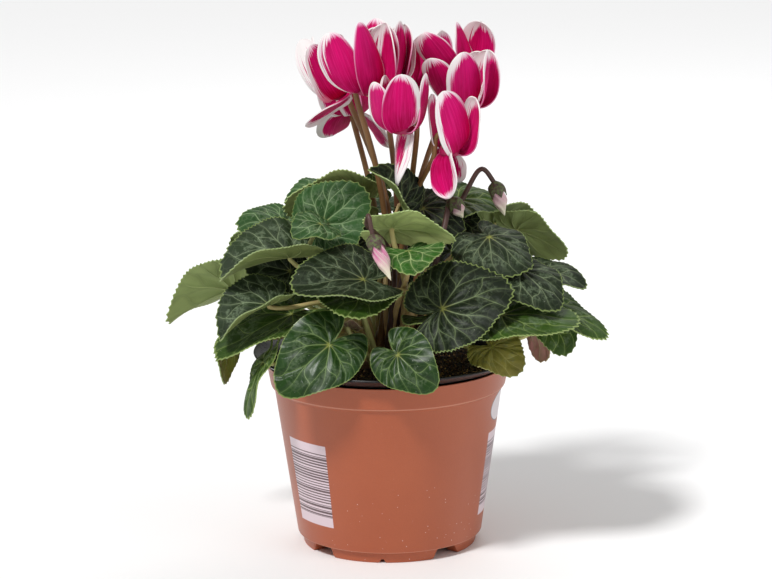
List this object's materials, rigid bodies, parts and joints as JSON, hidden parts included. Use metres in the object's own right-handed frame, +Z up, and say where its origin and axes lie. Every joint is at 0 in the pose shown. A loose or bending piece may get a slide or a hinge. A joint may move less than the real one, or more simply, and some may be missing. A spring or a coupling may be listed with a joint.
{
  "type": "potted cyclamen",
  "caption": "Cyclamen in a round nursery pot: heart-shaped patterned leaves on arching stalks, blooms with swept-back petals, drooping buds and a flared leaf collar.",
  "frame": {"origin": "centre of the pot's axis on the surface that its feet stand on", "axes": "+Z up along the pot's axis; -Y towards the viewer of the picture, +X to the right of it"},
  "size_m": [0.2342, 0.1667, 0.2852],
  "materials": {
    "pot": "terracotta-coloured thermoformed plastic, half matte",
    "leaf_collar": "thin black plastic, glossy",
    "soil": "dark brown peat-based potting soil, crumbly and moist",
    "stalks": "living stalks, olive to red-brown, smooth",
    "leaves": "living leaf, dark green with silver-green veins, pale green below, waxy",
    "petals": "living petal, magenta with a white feathered margin, velvety"
  },
  "bodies": {
    "root": {"bloom_back_middle": "petals", "bloom_back_right": "petals", "bloom_front_left": "petals", "bloom_front_middle": "petals", "bloom_front_right": "petals", "bloom_inner": "petals", "bloom_left": "petals", "bloom_low": "petals", "bloom_right": "petals", "corm_and_stalks": "stalks", "leaf_back_low_1": "leaves", "leaf_back_low_2": "leaves", "leaf_back_low_3": "leaves", "leaf_back_low_4": "leaves", "leaf_back_middle_1": "leaves", "leaf_back_middle_2": "leaves", "leaf_back_middle_3": "leaves", "leaf_back_middle_4": "leaves", "leaf_back_top_1": "leaves", "leaf_back_top_2": "leaves", "leaf_back_top_3": "leaves", "leaf_big_left": "leaves", "leaf_big_right": "leaves", "leaf_collar": "leaf_collar", "leaf_cup": "leaves", "leaf_dark_left": "leaves", "leaf_dark_middle": "leaves", "leaf_far_left": "leaves", "leaf_far_right": "leaves", "leaf_front_bright": "leaves", "leaf_front_edge": "leaves", "leaf_front_under": "leaves", "leaf_grey_right": "leaves", "leaf_hanging_edge": "leaves", "leaf_hanging_left": "leaves", "leaf_hanging_middle": "leaves", "leaf_left_long": "leaves", "leaf_left_low": "leaves", "leaf_left_middle": "leaves", "leaf_left_upper": "leaves", "leaf_olive_hanging": "leaves", "leaf_pale_left": "leaves", "leaf_pale_middle": "leaves", "leaf_pink": "leaves", "leaf_right_hanging": "leaves", "leaf_right_inside": "leaves", "leaf_right_low": "leaves", "leaf_right_ridge": "leaves", "leaf_right_tip": "leaves", "leaf_right_top": "leaves", "leaf_right_upper": "leaves", "leaf_silver": "leaves", "leaf_small_left": "leaves", "leaf_small_red": "leaves", "leaf_top_left": "leaves", "leaf_top_pale": "leaves", "leaf_top_right": "leaves", "leaf_yellow": "leaves", "pot": "pot", "soil": "soil"}
  },
  "joints": []
}
